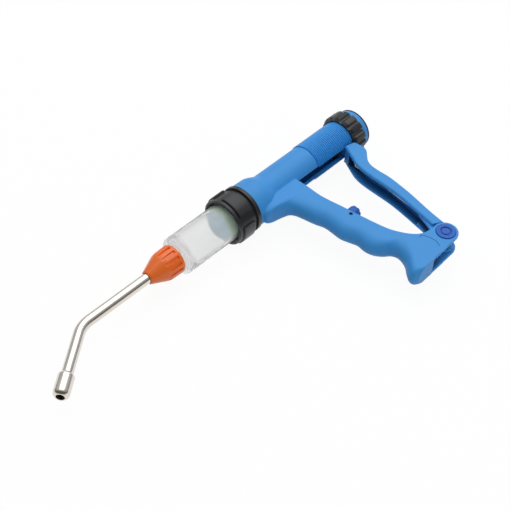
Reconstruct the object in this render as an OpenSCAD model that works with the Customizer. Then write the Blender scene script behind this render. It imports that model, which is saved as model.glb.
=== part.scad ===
// Livestock drencher: a hand gun that draws a dose through its rear feed
// and pushes it out of a bent steel nozzle. It lies on its side.
// X runs along the barrel to the rear, the handle points to -Y, Z is up.
// The origin is the mouth of the feed socket, on the barrel axis.

/* [Body] */
// Outer diameter of the body tube
tube_d = 27; // [26:0.1:30]
// Length of the tube from the socket face to the sleeve
tube_l = 66.4; // [58:0.2:76]
// Bore that runs through the tube and the sleeve
bore_d = 22; // [21:0.1:22.4]
// Diameter of the socket behind the barrel nut
socket_d = 33.8; // [33:0.1:37]
// Length of the socket before it falls to the tube
socket_l = 12.4; // [8:0.2:18]
// Length over which the socket falls to the tube
socket_fall = 11.6; // [8:0.2:16]
// Width of the lever slot along the underside
slot_w = 9.8; // [9.4:0.1:11]

/* [Handle] */
// Width of the handle across its flat sides
handle_w = 16; // [15:0.1:19]
// Depth of the flat underside of the foot below the barrel axis
foot_depth = 126.5; // [116:0.5:140]
// Distance of the handle's rear edge behind the socket face
handle_x = 43.5; // [41:0.5:46]
// Thickness of the grip from front to rear
grip_t = 19; // [16:0.5:22]
// Radius of the two rear edges of the grip
edge_r = 1.6; // [0.8:0.1:2.4]
// Width between the cheeks of the foot
clevis_w = 11.2; // [11:0.1:11.6]
// Distance of the pivot behind the socket face
pivot_x = 76.7; // [74:0.1:79]
// Diameter of the pivot bosses on the foot
boss_d = 17.6; // [16.8:0.1:19]
// Slope of the foot's upper face, down to the bosses
foot_slope = 9; // [6:0.5:14]
// Diameter of the pivot pin
pin_d = 5; // [4:0.1:6]
// Diameter of the round caps over the pin
cap_d = 13.8; // [12:0.1:14.4]
// Thickness of the caps
cap_t = 1.5; // [1.2:0.1:2.2]
// Depth of the cap's seat in the boss
cap_seat = 0.8; // [0.5:0.1:1]

/* [Lever] */
// Width of the lever across its side walls
lever_w = 15.4; // [15.1:0.1:17]
// Wall of the lever's channel
lever_wall = 2.5; // [2.4:0.1:2.8]
// Radius of the lever's back corners
lever_r = 3.4; // [2.6:0.1:4]
// Depth of the lever's shoulder below the barrel axis
shoulder_depth = 15.8; // [15.5:0.1:17]
// Depth of the rounded tip that moves the plunger
tip_depth = 9.2; // [9:0.1:9.4]
// Diameter of the rounded tip
tip_d = 5.2; // [4.4:0.1:5.4]
// Distance of the tip behind the pivot at rest
tip_lead = 22.3; // [20:0.1:23]
// Thickness of the ears on the pivot
ear_t = 2; // [1.6:0.1:2.2]
// Diameter of the ears round the pivot
ear_d = 15.2; // [13:0.1:16]

/* [Return spring] */
// Wire of the return spring
wire_d = 1.4; // [1:0.1:1.5]
// Mean diameter of its curls
curl_d = 9.2; // [8.6:0.1:9.6]
// Turns of the coil beyond the quarter turn between its legs
curls = 2; // [1:1:2]
// Gap between neighbouring curls
curl_gap = 0.5; // [0.45:0.01:0.55]
// Length of the leg in the foot
foot_leg = 29; // [24:0.5:32]
// Length of the leg up the lever
lever_leg = 88; // [60:1:90]

/* [Barrel] */
// Outer diameter of the clear barrel
barrel_d = 27.8; // [27:0.1:28.2]
// Bore of the barrel
barrel_bore = 24; // [23:0.1:25]
// Length of barrel in front of the nut
barrel_l = 43.7; // [40:0.1:60]
// Thickness of the barrel's front wall
front_wall = 3.2; // [2.6:0.1:4]
// Thickness of the flange that the nut holds
flange_t = 2.8; // [2:0.1:3.4]
// Thickness of the gasket
gasket_t = 1.4; // [1:0.1:2]

/* [Barrel nut] */
// Length of the barrel nut
nut_l = 19.5; // [18:0.1:21]
// Diameter over the raised grip pads
pad_d = 37.2; // [36.4:0.1:38.4]
// Number of pads
pads = 4; // [3:1:6]
// Share of each pitch that the gap between pads takes, in degrees
pad_gap = 28; // [20:1:36]
// Diameter of the front collar
collar_d = 34.8; // [33:0.1:35.6]
// Thickness of the lip that holds the flange
lip_t = 3; // [2.2:0.1:3.6]
// Diameter of the thread on the body's spigot
thread_d = 30.2; // [29.8:0.1:30.4]

/* [Nozzle] */
// Diameter of the steel tube
nozzle_d = 7.4; // [6.4:0.1:8]
// Bore of the steel tube
nozzle_bore = 5; // [4:0.1:5.4]
// Distance from the barrel's front face to the corner of the bend
nozzle_reach = 81.8; // [70:0.2:110]
// Angle of the bend
bend_angle = 35; // [15:1:60]
// Radius of the bend on the tube's axis
bend_r = 20; // [14:0.5:28]
// Distance from the corner of the bend to the end of the tip
leg_l = 56.4; // [48:0.2:80]
// Diameter of the tip
nozzle_tip_d = 10.8; // [10:0.1:12.4]
// Length of the tip
nozzle_tip_l = 17; // [14:0.2:22]
// Outlet hole in the tip
outlet_d = 4.8; // [3:0.1:5]
// Length of the nozzle nut
cone_l = 25.7; // [24:0.1:30]
// Diameter of the nozzle nut's ribbed end
cone_d = 21.4; // [20:0.1:22]
// Diameter of the nozzle nut's small end
cone_small_d = 10; // [9.8:0.1:12]
// Number of grip slots round the nozzle nut
cone_slots = 12; // [8:1:14]

/* [Dose setting] */
// Outer diameter of the ribbed sleeve
sleeve_d = 28.2; // [27:0.1:28.6]
// Length of the sleeve's plug in the tube
plug_l = 6.5; // [4:0.1:8]
// Wall of the knurled dose ring
ring_wall = 2.7; // [2.4:0.1:4]
// Length of the dose ring
ring_l = 13.1; // [9:0.1:16]
// Number of hollows round the dose ring
ring_hollows = 14; // [10:1:18]
// Gap between the lever and the dose ring at rest
ring_gap = 0.5; // [0.4:0.1:3]
// Diameter of the end cap
end_cap_d = 29.6; // [29.4:0.1:31.4]
// Thickness of the end cap's flange
end_cap_t = 3.6; // [3:0.1:5]
// Thickness of the black end ring
end_ring_t = 1.4; // [1:0.1:2]
// Hole through the end cap for the feed hose
hose_hole_d = 15; // [13:0.1:16]

/* [Plunger] */
// Length of the plunger's stroke
stroke = 36; // [28:0.2:36.4]
// Diameter of the plunger rod
rod_d = 9.2; // [8.8:0.1:9.8]
// Passage through the plunger
passage_d = 3.4; // [2.8:0.1:3.6]
// Diameter of the feed socket at the rear
feed_d = 6; // [5:0.1:6.4]
// Depth of the feed socket
feed_l = 12; // [8:0.5:14]
// Length of the feed tail behind the end ring
feed_tail_out = 1.8; // [1:0.1:4]
// Distance of the piston's face in front of the socket face
piston_x = 23.8; // [23:0.1:24.4]
// Length of the piston
piston_l = 8; // [7.4:0.1:9]
// Thickness of the spool's flanges
spool_t = 3; // [2.8:0.1:4]
// Diameter of the spool's waist
waist_d = 7.8; // [7.2:0.1:7.8]

/* [Stop screw] */
// Depth of the stop screw below the barrel axis
screw_depth = 57.5; // [52:0.5:70]
// Diameter of the stop screw
screw_d = 4.8; // [4.2:0.1:5.4]
// Diameter over the lobes of the knob
knob_d = 10.2; // [9:0.1:12]
// Length of the knob
knob_l = 7.6; // [6:0.1:9]
// Number of lobes
knob_lobes = 6; // [5:1:8]
// Travel of the stop screw
screw_travel = 4; // [2:0.1:5]
// Diameter of the pin that keeps the screw in
keeper_d = 2.6; // [1.6:0.1:2.8]

/* [Hidden] */
$fn = 64;

// Clearances
slide_gap = 0.3;   // between pieces that slide or turn past each other
thread_gap = 0.2;  // between an inner and an outer thread
run_gap = 0.05;    // between a pin or seal and what runs on it
over = 1;          // overshoot of a cut past the face that it opens
far = 200;         // longer than anything that is cut away

// Colours
blue = [0.25, 0.52, 0.79];
sleeve_blue = [0.22, 0.48, 0.77];
deep_blue = [0.24, 0.33, 0.65];
orange = [0.90, 0.42, 0.18];
black = [0.16, 0.16, 0.16];
frosted = [0.92, 0.92, 0.92, 0.6];
steel = [0.78, 0.77, 0.74];
pale_grey = [0.70, 0.77, 0.80];
pale_green = [0.68, 0.77, 0.66];
dark_grey = [0.25, 0.26, 0.28];

// Stations along the barrel, measured from the socket face to the rear
pivot_depth = foot_depth - boss_d / 2;
tip_x = pivot_x + tip_lead;
shoulder_rear = 28.7;
shoulder_top = 26.7;
ring_x = pivot_x + shoulder_top + ring_gap;
ring_d = sleeve_d + 2 * slide_gap + 2 * ring_wall;
sleeve_end = ring_x + ring_l + slide_gap;
cap_end = sleeve_end + end_cap_t;
ring_end = cap_end + end_ring_t;
face_x = -(ring_end + feed_tail_out);
barrel_front = -(nut_l + barrel_l);
flange_x = -(nut_l - lip_t);
gasket_x = flange_x + flange_t;
spigot_l = -(gasket_x + gasket_t);
nut_bore = thread_d + 2 * thread_gap;
valve_wall_x = barrel_front + front_wall;
slot_margin = 2;
slot_end = tip_x + tip_d / 2 + slot_margin;
slot_start = handle_x + over;

// The nozzle's boss, spigot and seal in front of the barrel
nose_boss_l = 2;
nose_spigot_d = 14.8;
nose_spigot_l = 11.8;
nose_end = barrel_front - nose_boss_l - nose_spigot_l;
seal_t = 1.2;
seal_lap = 0.5;
head_d = 13;
head_t = 2;
head_x = nose_end - seal_t;
chamber_d = 8.4;
outlet_ball_d = 6;
seat_d = 3.6;
seat_x = barrel_front + 1.2;
outlet_ball_x = seat_x + seat_d / 2 - outlet_ball_d / 2 * sqrt(2) - run_gap;

// The return spring's coil, from its leg in the foot to its leg in the lever
coil_turn = curls * 360 + 86;
coil_h = (wire_d + curl_gap) * coil_turn / 360;

// The lever turns until the tip has carried the plunger through its stroke
tip_arm = norm([tip_lead, pivot_depth - tip_depth]);
rest_angle = asin(tip_lead / tip_arm);
squeeze_angle = rest_angle - asin((tip_lead - stroke) / tip_arm);
echo(squeeze_deg = squeeze_angle, plunger_m_per_rad = stroke / 1000 / (squeeze_angle * PI / 180));
echo(face_x = face_x, pivot = [face_x + pivot_x, -pivot_depth], screw = [face_x + handle_x, -screw_depth]);

// The foot's upper face slopes down to touch the bosses
slope_end = (pivot_depth - boss_d / 2 / cos(foot_slope)) / foot_depth;
heel_reach = 19.2;
slope_top = slope_end - (pivot_x - handle_x - heel_reach) * tan(foot_slope) / foot_depth;

// Handle outline: share of the foot's depth, then the distance from the rear edge at the top
rear_edge = [[0.05, 0], [0.16, 0.3], [0.28, 0], [0.42, 2.6], [0.53, 4.6], [0.62, 6.3], [0.70, 8.2],
    [0.757, 10.5], [0.81, 14.3], [slope_top, heel_reach], [slope_end, pivot_x - handle_x], [1, pivot_x - handle_x]];
front_edge = [[0.05, -20.5], [0.15, -20.2], [0.166, -12], [0.184, -4.6], [0.215, -1.2], [0.27, 0.4],
    [0.34, 1.8], [0.395, 4], [0.45, 4], [0.51, 3.6], [0.56, 5.2], [0.61, 7.1], [0.665, 6.4], [0.71, 7.6],
    [0.75, 11], [0.78, 15.4], [0.814, 17.5], [0.854, 16.9], [0.893, 14.3], [0.925, 10.3], [0.96, 6.7],
    [0.984, 7.1], [1, 11]];
nose_length = [[0.05, 24], [0.16, 24], [0.21, 14], [0.27, 10], [0.8, 9.5], [0.9, 8], [1, 7]];

// Lever outline: share of the way from the pivot up to the shoulder, then the distance behind the pivot
lever_front = [[0.05, -2], [0.22, 1.5], [0.48, 5.8], [0.75, 7.1], [0.84, 8.9], [0.91, 12.2], [1, 16.9]];
lever_back = [[0.05, 7.8], [0.2, 10.2], [0.4, 14.4], [0.6, 17.1], [0.7, 16.9], [0.77, 17.5], [0.82, 19.7],
    [0.86, 23.7], [0.893, 27.2], [0.927, shoulder_rear], [0.967, shoulder_rear - 0.4], [1, shoulder_top]];

// Smooth curve through a list of [place, value] pairs
function span_of(pairs, s, i = 0) =
    i >= len(pairs) - 2 || s < pairs[i + 1][0] ? i : span_of(pairs, s, i + 1);
function slope_at(pairs, i) =
    let (a = pairs[max(i - 1, 0)], b = pairs[min(i + 1, len(pairs) - 1)]) (b[1] - a[1]) / (b[0] - a[0]);
function along(pairs, s) =
    let (i = span_of(pairs, s), a = pairs[i], b = pairs[i + 1], w = b[0] - a[0],
        u = min(max((s - a[0]) / w, 0), 1))
    a[1] * (1 + 2 * u) * (1 - u) * (1 - u) + slope_at(pairs, i) * w * u * (1 - u) * (1 - u)
        + b[1] * u * u * (3 - 2 * u) + slope_at(pairs, i + 1) * w * u * u * (u - 1);

// Closed tube of triangles over a list of rings, with flat ends
function ring_faces(rings, n) =
    [for (i = [0 : rings - 2], k = [0 : n - 1], t = [0, 1])
        let (a = i * n + k, b = i * n + (k + 1) % n)
        t == 0 ? [a, b + n, b] : [a, a + n, b + n]];
module skin(rings) {
    n = len(rings[0]);
    polyhedron([for (r = rings) each r], concat(ring_faces(len(rings), n),
        [[for (k = [0 : n - 1]) k], [for (k = [n - 1 : -1 : 0]) (len(rings) - 1) * n + k]]));
}

// Everything is drawn from the socket face and set back to the feed socket's mouth
module gun() {
    translate([face_x, 0, 0]) children();
}
// Turned piece: [radius, place along the barrel] pairs
module turned(profile) {
    rotate([0, 90, 0]) rotate_extrude() polygon(profile);
}
// Round bar along the barrel
module bar(d, from, to) {
    translate([from, 0, 0]) rotate([0, 90, 0]) cylinder(d = d, h = to - from);
}
// Places children at the pivot
module at_pivot() {
    translate([pivot_x, -pivot_depth, 0]) children();
}

// One cross-section of the handle: flat sides, rounded rear edges, an oval nose to the front
function grip_ring(share) =
    let (x_rear = handle_x + along(rear_edge, share),
        x_front = handle_x - grip_t + along(front_edge, share),
        nose = min(along(nose_length, share), x_rear - x_front - 2 * edge_r),
        half = handle_w / 2,
        section = concat(
            [for (a = [-90 : 45 : 0]) [x_rear - edge_r + edge_r * cos(a), -half + edge_r + edge_r * sin(a)]],
            [for (a = [0 : 45 : 90]) [x_rear - edge_r + edge_r * cos(a), half - edge_r + edge_r * sin(a)]],
            [for (a = [90 : 18 : 270]) [x_front + nose + nose * cos(a), half * sin(a)]]))
    [for (p = section) [p[0], -share * foot_depth, p[1]]];

module handle_solid() {
    top = rear_edge[0][0];
    grip_steps = 38;
    slope_steps = 4;
    heel_steps = 6;
    skin(concat([for (i = [0 : grip_steps - 1]) grip_ring(top + (slope_top - top) * i / grip_steps)],
        [for (i = [0 : slope_steps - 1]) grip_ring(slope_top + (slope_end - slope_top) * i / slope_steps)],
        [for (i = [0 : heel_steps]) grip_ring(slope_end + (1 - slope_end) * i / heel_steps)]));
    at_pivot() cylinder(d = boss_d, h = handle_w, center = true);
}

// Cut through the wall under the barrel, for the lever
module lever_slot(from, to) {
    translate([from, -tube_d, -slot_w / 2]) cube([to - from, tube_d, slot_w]);
}

module body_housing() color(blue) gun() {
    socket_taper = 0.3;
    socket_rise = (socket_d - tube_d) / 2 - socket_taper;
    difference() {
        union() {
            turned([[0, 0], [socket_d / 2, 0],
                for (u = [0 : 0.2 : 1])
                    [tube_d / 2 + socket_rise * (1 - u * u * (3 - 2 * u)), socket_l + u * socket_fall],
                [tube_d / 2, tube_l], [0, tube_l]]);
            handle_solid();
        }
        bar(bore_d, -over, tube_l + over);
        bar(sleeve_plug_d() + thread_gap, tube_l - plug_l - slide_gap, tube_l + over);
        lever_slot(slot_start, tube_l + over);
        clevis_cut();
        at_pivot() {
            cylinder(d = pin_d, h = far, center = true);
            for (side = [0, 1]) mirror([0, 0, side])
                translate([0, 0, handle_w / 2 - cap_seat]) cylinder(d = cap_d + slide_gap, h = far);
        }
        translate([pivot_x - foot_leg - over, -pivot_depth - curl_d / 2, -coil_h / 2]) rotate([0, 90, 0])
            cylinder(d = wire_d + slide_gap, h = far);
        translate([0, -screw_depth, 0]) bar(screw_d + thread_gap, screw_root() - screw_travel, far);
        translate([keeper_x(), keeper_y(), 0]) cylinder(d = keeper_d, h = far, center = true);
    }
    // Threaded spigot inside the barrel nut
    difference() {
        bar(thread_d, -spigot_l, 0);
        bar(bore_d, -spigot_l - over, over);
    }
}
// Room in the foot for the lever's ears and the spring
module clevis_cut() {
    leg_hold = 4;
    ear_room = 1.4;
    pocket_x = pivot_x - foot_leg + leg_hold;
    room = ear_d / 2 + ear_room;
    at_pivot() {
        cylinder(d = 2 * room, h = clevis_w, center = true);
        translate([0, -far, -clevis_w / 2]) cube([far, 2 * far, clevis_w]);
        translate([-room, 0, -clevis_w / 2]) cube([far, far, clevis_w]);
    }
    translate([pocket_x, -far - pivot_depth, -clevis_w / 2]) cube([far, far, clevis_w]);
}
function sleeve_plug_d() = (tube_d + bore_d) / 2;
// The stop screw's root in the handle, and the keeper pin that stands in its neck
screw_hold = 6;
keeper_back = 0.4;
keeper_bite = 0.2;
function screw_root() = handle_x - screw_hold;
function keeper_x() = handle_x + keeper_back;
function keeper_y() = -screw_depth - screw_d / 2 - keeper_d / 2 + keeper_bite;

module barrel_nut() color(black) gun() {
    groove_l = 2.4;
    flange_l = 2.4;
    nut_wall = 1.7;
    flange_rise = 0.6;
    base_d = nut_bore + 2 * nut_wall;
    rim_d = base_d + 2 * flange_rise;
    pad_l = nut_l - lip_t - groove_l - flange_l;
    difference() {
        union() {
            turned([[0, -nut_l], [collar_d / 2, -nut_l], [collar_d / 2, flange_x], [base_d / 2, flange_x],
                [base_d / 2, -flange_l], [rim_d / 2, -flange_l], [rim_d / 2, 0], [0, 0]]);
            difference() {
                bar(pad_d, flange_x, flange_x + pad_l);
                for (i = [0 : pads - 1]) rotate([pad_gap + i * 360 / pads, 0, 0])
                    translate([-nut_l - over, base_d / 2, 0]) rotate([0, 90, 0])
                        linear_extrude(nut_l + 2 * over)
                            polygon([[-base_d / 2 * sin(pad_gap / 2), -base_d], [base_d / 2 * sin(pad_gap / 2), -base_d],
                                [pad_d * sin(pad_gap / 2), pad_d], [-pad_d * sin(pad_gap / 2), pad_d]]);
            }
        }
        bar(barrel_d + thread_gap, -nut_l - over, over);
        bar(nut_bore, flange_x, over);
    }
}

module barrel_gasket() color(black) gun() difference() {
    bar(thread_d, gasket_x, gasket_x + gasket_t);
    bar(barrel_bore + 2 * thread_gap, gasket_x - over, gasket_x + gasket_t + over);
}

module barrel() color(frosted) gun() {
    edge = 1.2;
    turned([[barrel_bore / 2, gasket_x], [thread_d / 2, gasket_x], [thread_d / 2, flange_x], [barrel_d / 2, flange_x],
        [barrel_d / 2, barrel_front + edge],
        for (a = [30 : 30 : 90])
            [barrel_d / 2 - edge + edge * cos(a), barrel_front + edge - edge * sin(a)],
        [cone_d / 2, barrel_front], [cone_d / 2, barrel_front - nose_boss_l], [nose_spigot_d / 2, barrel_front - nose_boss_l],
        [nose_spigot_d / 2, nose_end], [chamber_d / 2, nose_end], [chamber_d / 2, seat_x - (chamber_d - seat_d) / 2],
        [seat_d / 2, seat_x], [seat_d / 2, valve_wall_x], [barrel_bore / 2, valve_wall_x]]);
}

module outlet_ball() color(steel) gun() translate([outlet_ball_x, 0, 0]) sphere(d = outlet_ball_d);

// Points along a coil: turns about the given centre, advancing as it goes
function helix(d, turns, pitch, per_turn) =
    [for (i = [0 : turns * per_turn]) let (a = 360 * i / per_turn)
        [d / 2 * cos(a), d / 2 * sin(a), pitch * i / per_turn]];

// Round wire along a list of points, six sides
function unit(v) = v / norm(v);
function heading(path, i) =
    unit(path[min(i + 1, len(path) - 1)] - path[max(i - 1, 0)]);
function wire_ring(path, i, d, across) =
    let (t = heading(path, i), u = unit(cross(t, cross(across, t))), v = cross(t, u))
    [for (k = [0 : 5]) path[i] + d / 2 * (cos(60 * k) * u + sin(60 * k) * v)];
module wire(path, d, across) {
    skin([for (i = [0 : len(path) - 1]) wire_ring(path, i, d, across)]);
}
// Least distance between points of a wire that are further apart along it than half a turn
function least_gap(path, d, skip) =
    min([for (i = [0 : len(path) - 1], j = [i + skip : 1 : len(path) - 1]) norm(path[i] - path[j])]) - d;

module outlet_spring() color(steel) gun() {
    spring_wire = 0.7;
    spring_d = 5;
    from = outlet_ball_x - outlet_ball_d / 2 - slide_gap - spring_wire / 2;
    to = nose_end + spring_wire / 2;
    turns = 4;
    path = helix(spring_d, turns, (from - to) / turns, 8);
    echo(outlet_spring_gap = least_gap(path, spring_wire, 5));
    translate([to, 0, 0]) rotate([0, 90, 0]) wire(path, spring_wire, [0, 0, 1]);
}

module nozzle_nut() color(orange) gun() {
    rear = barrel_front - nose_boss_l;
    shoulder = head_x - head_t - run_gap;
    grip_l = 9;
    front = rear - cone_l;
    edge = 0.6;
    belly = 0.65;
    slot_d = 2;
    slot_lift = 0.1;
    difference() {
        turned([[0, rear], [cone_d / 2 - edge, rear], [cone_d / 2, rear - edge], [cone_d / 2, rear - grip_l],
            for (u = [0.2 : 0.2 : 1])
                [cone_small_d / 2 + (cone_d - cone_small_d) / 2 * (1 - u) * (1 + belly * u), rear - grip_l - u * (cone_l - grip_l)],
            [0, front]]);
        bar(nose_spigot_d + 2 * thread_gap, shoulder, rear + over);
        bar(nozzle_d + 2 * slide_gap, front - over, rear);
        for (i = [0 : cone_slots - 1]) rotate([i * 360 / cone_slots, 0, 0])
            translate([0, cone_d / 2 + slot_lift, 0]) bar(slot_d, rear - grip_l, rear - 2 * edge);
    }
}

module nozzle_seal() color(black) gun() difference() {
    bar(nose_spigot_d - 2 * thread_gap, head_x + run_gap, nose_end);
    bar(nozzle_bore - 2 * seal_lap, head_x - over, nose_end + over);
}

// Follows the bend: children start at the corner's end and run along -X
module past_bend() {
    tangent = bend_r * tan(bend_angle / 2);
    translate([bend_corner() + tangent, -bend_r, 0]) rotate([0, 0, bend_angle])
        translate([0, bend_r, 0]) children();
}
function bend_corner() = barrel_front - nozzle_reach;
function leg_tube() = leg_l - bend_r * tan(bend_angle / 2) - nozzle_tip_l;
tip_socket_l = 9;

module nozzle_tube() color(steel) gun() {
    bend_end = bend_corner() + bend_r * tan(bend_angle / 2);
    turned([[nozzle_bore / 2, head_x], [head_d / 2, head_x], [head_d / 2, head_x - head_t],
        [nozzle_d / 2, head_x - head_t], [nozzle_d / 2, bend_end], [nozzle_bore / 2, bend_end]]);
    translate([bend_end, -bend_r, 0]) difference() {
        bend_sweep(nozzle_d - bend_thin, bend_lap);
        bend_sweep(nozzle_bore + bend_thin, 2 * bend_lap);
    }
    past_bend() turned([[nozzle_bore / 2, 0], [nozzle_d / 2, 0], [nozzle_d / 2, -leg_tube() - tip_socket_l],
        [nozzle_bore / 2, -leg_tube() - tip_socket_l]]);
}
// The wall thins a little round the bend, and laps into the straight lengths by a small angle
bend_thin = 0.06;
bend_lap = 1.2;
module bend_sweep(d, lap) {
    rotate([0, 0, 90 - lap]) rotate_extrude(angle = bend_angle + 2 * lap) translate([bend_r, 0]) circle(d = d);
}

module nozzle_tip() color(steel) gun() past_bend() {
    from = -leg_tube();
    to = from - nozzle_tip_l;
    r = nozzle_tip_d / 2;
    round = 3;
    shoulder_in = 1.2;
    shoulder_l = 1.6;
    turned([[nozzle_d / 2, from], [r - shoulder_in, from], [r, from - shoulder_l], [r, to + round],
        for (a = [30 : 30 : 90]) [r - round + round * cos(a), to + round - round * sin(a)],
        [outlet_d / 2, to], [outlet_d / 2, from - tip_socket_l], [nozzle_d / 2, from - tip_socket_l]]);
}

module dose_sleeve() color(sleeve_blue) gun() difference() {
    union() {
        bar(sleeve_d, tube_l, sleeve_end);
        bar(sleeve_plug_d(), tube_l - plug_l, tube_l + over);
    }
    bar(bore_d, tube_l - plug_l - over, sleeve_end + over);
    lever_slot(tube_l - plug_l - over, slot_end);
}

module dose_ring() color(black) gun() {
    hollow_share = 0.72;
    hollow_depth = 0.38 * ring_wall;
    hollow_d = ring_d * PI / ring_hollows * hollow_share;
    edge = 0.5;
    cone = 2.6;
    cone_in = 1.5;
    front_r = min(ring_d / 2 - cone_in, shoulder_depth - slide_gap);
    difference() {
        turned([[0, ring_x], [front_r, ring_x], [ring_d / 2, ring_x + cone],
            [ring_d / 2, ring_x + ring_l - edge], [ring_d / 2 - edge, ring_x + ring_l], [0, ring_x + ring_l]]);
        bar(sleeve_d + 2 * slide_gap, ring_x - over, ring_x + ring_l + over);
        for (i = [0 : ring_hollows - 1]) rotate([i * 360 / ring_hollows, 0, 0])
            translate([0, ring_d / 2 + hollow_d / 2 - hollow_depth, 0]) bar(hollow_d, ring_x - over, ring_x + ring_l + over);
    }
}

module end_cap() color(blue) gun() {
    cap_plug_l = 6;
    edge = 0.6;
    turned([[hose_hole_d / 2, sleeve_end - cap_plug_l], [bore_d / 2 - run_gap, sleeve_end - cap_plug_l],
        [bore_d / 2 - run_gap, sleeve_end], [end_cap_d / 2, sleeve_end], [end_cap_d / 2, cap_end - edge],
        [end_cap_d / 2 - edge, cap_end], [hose_hole_d / 2, cap_end]]);
}

module end_ring() color(black) gun() {
    overhang = 0.2;
    inset = 1;
    turned([[hose_hole_d / 2 + inset, cap_end], [end_cap_d / 2 + overhang, cap_end],
        [end_cap_d / 2 + overhang, ring_end], [hose_hole_d / 2 + inset, ring_end]]);
}

// The spool's flanges stand either side of the lever's tip
spool_front = tip_x - tip_d / 2 - slide_gap - spool_t;
spool_rear = tip_x + tip_d / 2 + slide_gap + spool_t;
joint_d = 6;
joint_l = 2.4;
rod_seat = 1.6;
rod_front = piston_l - piston_x - rod_seat;

module plunger_rod() color(steel) gun() difference() {
    union() {
        bar(rod_d, rod_front, spool_front);
        bar(joint_d, rod_front, spool_front + joint_l);
    }
    bar(passage_d, rod_front - over, spool_front + joint_l + over);
}

module drive_spool() color(dark_grey) gun() difference() {
    flange_d = bore_d - 2 * slide_gap;
    turned([[passage_d / 2, spool_front], [flange_d / 2, spool_front], [flange_d / 2, spool_front + spool_t],
        [waist_d / 2, spool_front + spool_t], [waist_d / 2, spool_rear - spool_t],
        [flange_d / 2, spool_rear - spool_t], [flange_d / 2, spool_rear], [passage_d / 2, spool_rear]]);
    bar(joint_d, spool_front - over, spool_front + joint_l);
    bar(joint_d, spool_rear - joint_l, spool_rear + over);
}

module feed_tail() color(steel) gun() {
    mouth = ring_end + feed_tail_out;
    turned([[passage_d / 2, spool_rear - joint_l], [joint_d / 2, spool_rear - joint_l], [joint_d / 2, spool_rear],
        [rod_d / 2, spool_rear], [rod_d / 2, mouth], [feed_d / 2, mouth], [feed_d / 2, mouth - feed_l],
        [passage_d / 2, mouth - feed_l]]);
}

// The piston's parts sit in front of the rod
seal_from = 3.2;
seal_w = 2.4;
seal_root_d = 19.6;
valve_room_d = 6;
inlet_ball_d = 4.8;
piston_d = barrel_bore - 2 * slide_gap;
inlet_ball_x = rod_front - sqrt(pow(inlet_ball_d / 2, 2) - pow(passage_d / 2, 2)) - run_gap;

module piston() color(pale_grey) gun() {
    front = -piston_x;
    wall = 1;
    port_d = 1.6;
    port_r = 1.8;
    edge = 0.6;
    hub_wall = 2;
    hub_end = front + piston_l + 4;
    difference() {
        turned([[0, front], [piston_d / 2 - edge, front], [piston_d / 2, front + edge], [piston_d / 2, front + seal_from],
            [seal_root_d / 2, front + seal_from], [seal_root_d / 2, front + seal_from + seal_w],
            [piston_d / 2, front + seal_from + seal_w], [piston_d / 2, front + piston_l],
            [rod_d / 2 + hub_wall, front + piston_l], [rod_d / 2 + hub_wall, hub_end], [0, hub_end]]);
        bar(rod_d, rod_front, far);
        bar(valve_room_d, front + wall, rod_front + over);
        for (i = [0 : 3]) rotate([i * 90, 0, 0])
            translate([0, port_r, 0]) bar(port_d, front - over, front + wall + over);
    }
}

module piston_seal() color(pale_green) gun() {
    from = -piston_x + seal_from;
    r = barrel_bore / 2 - run_gap;
    edge = 0.5;
    turned([[seal_root_d / 2, from], [r - edge, from], [r, from + edge], [r, from + seal_w - edge],
        [r - edge, from + seal_w], [seal_root_d / 2, from + seal_w]]);
}

module inlet_ball() color(steel) gun() translate([inlet_ball_x, 0, 0]) sphere(d = inlet_ball_d);

// Cross-sections of the lever at a share of its height, and of the channel open to its front
function lever_place(share) = -pivot_depth + share * (pivot_depth - shoulder_depth);
function lever_corner(x, z, r, from) =
    [for (a = [from : 30 : from + 90]) [x - r + r * cos(a), z + r * sin(a)]];
function lever_outside(share) =
    let (x_front = pivot_x + along(lever_front, share), x_back = pivot_x + along(lever_back, share),
        half = lever_w / 2,
        section = concat([[x_front, -half]], lever_corner(x_back, -half + lever_r, lever_r, -90),
            lever_corner(x_back, half - lever_r, lever_r, 0), [[x_front, half]]))
    [for (p = section) [p[0], lever_place(share), p[1]]];
function lever_channel(share) =
    let (x_front = pivot_x + along(lever_front, share) - 2 * over,
        floor = pivot_x + along(lever_back, share) - lever_wall,
        inner = lever_w / 2 - lever_wall)
    [for (p = [[x_front, -inner], [floor, -inner], [floor, inner], [x_front, inner]])
        [p[0], lever_place(share), p[1]]];

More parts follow.
